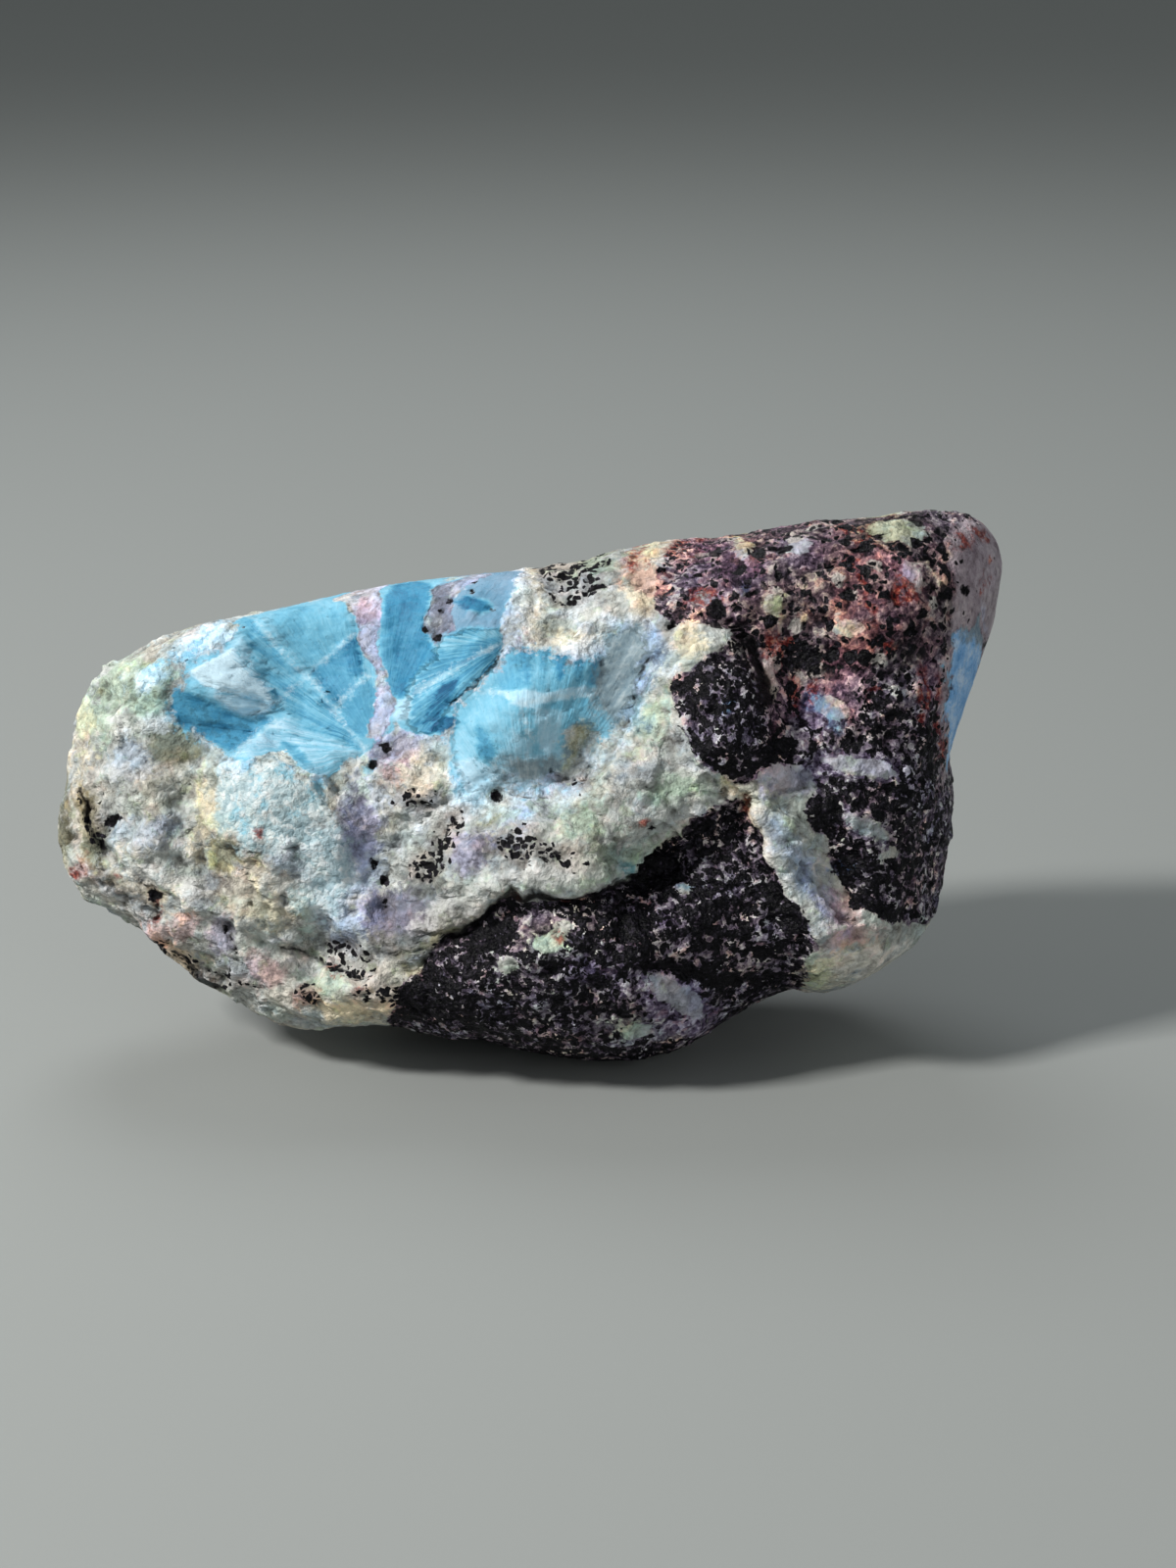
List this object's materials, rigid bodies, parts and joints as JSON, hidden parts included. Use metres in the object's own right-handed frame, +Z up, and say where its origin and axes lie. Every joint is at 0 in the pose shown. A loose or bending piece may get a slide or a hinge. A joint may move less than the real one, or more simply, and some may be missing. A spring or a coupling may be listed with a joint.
{
  "type": "raw larimar specimen",
  "caption": "Rough larimar specimen: a blue and pale broken mineral face with dark speckled basalt, one stone resting on a small flat at its foot.",
  "frame": {"origin": "under the middle of the stone's bounding box, on the surface that it stands on", "axes": "+X to the right along the stone's length, +Y from the broken face to the back, +Z up"},
  "size_m": [0.1208, 0.0576, 0.0675],
  "materials": {
    "stone": "rough broken surface, waxy on the blue mineral, blue and pale matrix on the left and dark speckled basalt on the right"
  },
  "bodies": {
    "root": {"larimar_stone": "stone"}
  },
  "joints": []
}
